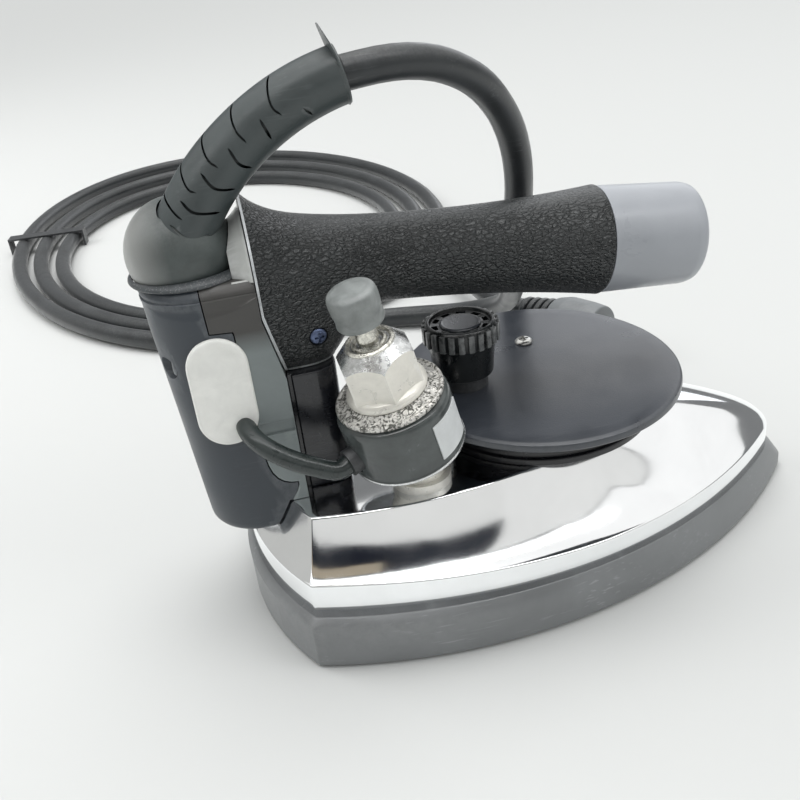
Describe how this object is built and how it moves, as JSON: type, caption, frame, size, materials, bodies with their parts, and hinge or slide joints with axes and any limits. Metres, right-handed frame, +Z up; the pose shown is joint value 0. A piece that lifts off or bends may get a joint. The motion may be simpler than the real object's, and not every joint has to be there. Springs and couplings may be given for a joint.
{
  "type": "gravity feed steam iron",
  "caption": "Gravity feed steam iron with bright cover, round rubber handle, thermostat knob, leaning solenoid steam valve, arched cord guide and coiled mains cord.",
  "frame": {"origin": "middle of the sole's flat face", "axes": "+X towards the nose, +Y away from the steam valve, +Z up from the sole"},
  "size_m": [0.3467, 0.6879, 0.1792],
  "materials": {
    "cast_alloy": "satin",
    "lid_alloy": "satin",
    "element_sheath": "dull",
    "gasket_fibre": "matte",
    "plated_steel": "satin",
    "ceramic": "matte",
    "cutout_alloy": "satin",
    "chromed_steel": "mirror",
    "black_phenolic": "gloss",
    "shield_grey": "satin",
    "knob_black": "satin",
    "dial_grey": "satin",
    "column_grey": "satin",
    "frame_grey": "satin",
    "pad_white": "frosted",
    "black_plastic": "satin",
    "cord_rubber": "satin",
    "collar_grey": "speckled satin",
    "boot_grey": "satin",
    "relief_rubber": "satin",
    "grip_rubber": "wrinkled",
    "plug_alloy": "satin",
    "cap_grey": "satin",
    "screw_blue": "satin",
    "button_red": "gloss",
    "brass": "satin",
    "coil_copper": "satin",
    "ring_metal": "rough",
    "hex_cream": "satin",
    "boss_cream": "satin",
    "dust_cap_grey": "translucent",
    "lead_grey": "satin",
    "label_white": "matte",
    "plug_grey": "satin",
    "tie_black": "satin"
  },
  "bodies": {
    "iron": {"soleplate": "cast_alloy", "heating_element": "element_sheath", "chamber_gasket": "gasket_fibre", "chamber_lid": "lid_alloy", "lid_screws": "plated_steel", "thermostat_body": "ceramic", "thermal_cutout": "cutout_alloy", "cover_shell": "chromed_steel", "insulating_block": "black_phenolic", "heat_shield": "shield_grey", "shield_screws": "shield_grey", "knob_bushing": "dial_grey", "column_rear": "column_grey", "column_middle": "frame_grey", "column_front": "black_phenolic", "column_screws": "plated_steel", "rear_screws": "black_plastic", "oval_pad": "pad_white", "terminal_block": "ceramic", "cord_clamp": "black_plastic", "inner_cord": "cord_rubber", "cord_collar": "collar_grey", "cord_boot": "boot_grey", "strain_relief": "relief_rubber", "relief_lip": "relief_rubber", "core_tube": "plated_steel", "grip_sleeve": "grip_rubber", "grip_plug": "plug_alloy", "end_cap": "cap_grey", "cap_screw": "plated_steel", "flare_screw": "screw_blue", "button_ring": "black_plastic", "switch_body": "black_plastic", "valve_body": "brass", "inlet_tube": "brass", "valve_housing": "black_phenolic", "valve_coil": "coil_copper", "valve_tube": "plated_steel", "plunger_spring": "plated_steel", "valve_ring": "ring_metal", "valve_hex": "hex_cream", "inlet_nipple": "boss_cream", "lead_grommet": "black_plastic", "valve_label": "label_white", "solenoid_lead": "lead_grey", "mains_cord": "cord_rubber", "cord_coil": "cord_rubber", "cord_tail": "cord_rubber", "cord_tie": "tie_black", "plug_relief": "cord_rubber", "mains_plug": "plug_grey", "plug_pins": "plated_steel"},
    "knob": {"thermostat_knob": "knob_black", "thermostat_spindle": "brass", "dial_disc": "dial_grey"},
    "button": {"steam_button": "button_red"},
    "switch_pin": {"switch_plunger": "button_red"},
    "valve_core": {"valve_plunger": "plated_steel"},
    "cap": {"dust_cap": "dust_cap_grey"}
  },
  "joints": [
    {"name": "knob_turn", "type": "hinge", "parent": "iron", "child": "knob", "pos_m": [-0.02, 0, 0.066], "axis": [0, 0, -1], "range_deg": [0, 290]},
    {"name": "button_press", "type": "slide", "parent": "iron", "child": "button", "axis": [0, -1, 0], "range_m": [0, 0.003], "stiffness_N_per_m": 500},
    {"name": "switch_press", "type": "slide", "parent": "iron", "child": "switch_pin", "axis": [0, -1, 0], "range_m": [0, 0.0012], "stiffness_N_per_m": 200},
    {"name": "valve_lift", "type": "slide", "parent": "iron", "child": "valve_core", "axis": [-0.2152, -0.1045, 0.9709], "range_m": [0, 0.0025], "stiffness_N_per_m": 300, "deforming": ["plunger_spring"]},
    {"name": "cap_pull", "type": "slide", "parent": "iron", "child": "cap", "axis": [-0.2152, -0.1045, 0.9709], "range_m": [0, 0.02]}
  ],
  "couplings": [
    {"joint": "switch_press", "follows": "button_press", "ratio": 0.4}
  ]
}
